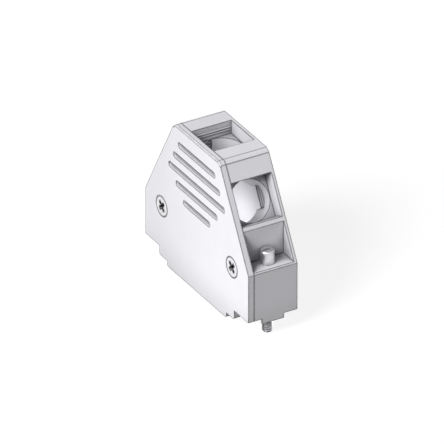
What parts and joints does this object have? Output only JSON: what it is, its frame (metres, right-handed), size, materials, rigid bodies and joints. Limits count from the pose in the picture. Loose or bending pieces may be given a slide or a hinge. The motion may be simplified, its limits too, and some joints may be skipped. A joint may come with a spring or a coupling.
{
  "type": "d-sub hood",
  "caption": "Split cable hood for a d-sub connector, with top and shoulder cable exits, countersunk case screws and captive slotted jackscrews.",
  "frame": {"origin": "centre of the connector seat, midway between the axes of the jackscrews", "axes": "+Z out of the top cable exit, +X along the connector, -Y out of the cover"},
  "size_m": [0.0544, 0.0149, 0.0474],
  "materials": {
    "back_shell": "fine matte moulded",
    "cover": "fine matte moulded",
    "case_screw": "zinc plated",
    "jackscrew": "turned, zinc plated",
    "retaining_ring": "stamped spring steel"
  },
  "bodies": {
    "root": {"back_shell": "back_shell", "cover": "cover", "case_screw_left": "case_screw", "case_screw_right": "case_screw"},
    "retainer_left": {"retaining_ring_left": "retaining_ring"},
    "retainer_right": {"retaining_ring_right": "retaining_ring"},
    "jackscrew_left": {"jackscrew_left": "jackscrew"},
    "jackscrew_right": {"jackscrew_right": "jackscrew"}
  },
  "joints": [
    {"name": "left_float", "type": "slide", "parent": "root", "child": "retainer_left", "axis": [0, 0, 1], "range_m": [0, 0.0035]},
    {"name": "left_turn", "type": "hinge", "parent": "retainer_left", "child": "jackscrew_left", "pos_m": [-0.02352, 0, 0], "axis": [0, 0, 1], "continuous": true},
    {"name": "right_float", "type": "slide", "parent": "root", "child": "retainer_right", "axis": [0, 0, 1], "range_m": [0, 0.0035]},
    {"name": "right_turn", "type": "hinge", "parent": "retainer_right", "child": "jackscrew_right", "pos_m": [0.02352, 0, 0], "axis": [0, 0, 1], "continuous": true}
  ]
}
